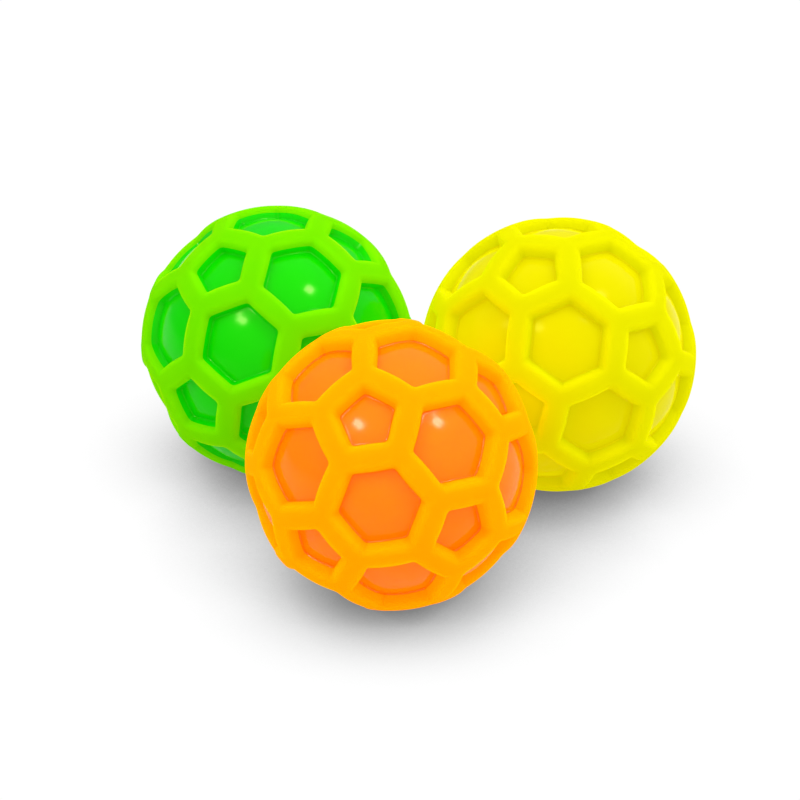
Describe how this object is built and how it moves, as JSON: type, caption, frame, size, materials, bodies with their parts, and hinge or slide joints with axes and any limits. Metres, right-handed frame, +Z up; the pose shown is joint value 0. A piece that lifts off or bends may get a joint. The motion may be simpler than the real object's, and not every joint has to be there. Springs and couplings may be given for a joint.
{
  "type": "dimpled bounce ball set",
  "caption": "Set of dimpled high-bounce foam-rubber balls in orange, green and yellow, standing close together; each lifts off and is caught or thrown in reaction training.",
  "frame": {"origin": "on the surface that the balls stand on, under the middle of the set's outer box", "axes": "+Z up; -Y is the front, the side of the orange ball; +X to the right seen from the front, where the yellow ball stands"},
  "size_m": [0.1274, 0.122, 0.0629],
  "materials": {
    "orange_rubber": "matte ribs with glossy recess floors",
    "green_rubber": "matte ribs with glossy recess floors",
    "yellow_rubber": "matte ribs with glossy recess floors"
  },
  "bodies": {
    "orange": {"orange_ball": "orange_rubber"},
    "green": {"green_ball": "green_rubber"},
    "yellow": {"yellow_ball": "yellow_rubber"}
  },
  "joints": [
    {"name": "green_lift", "type": "slide", "parent": "orange", "child": "green", "axis": [0, 0, 1], "range_m": [0, 0.09]},
    {"name": "yellow_lift", "type": "slide", "parent": "orange", "child": "yellow", "axis": [0, 0, 1], "range_m": [0, 0.09]}
  ]
}
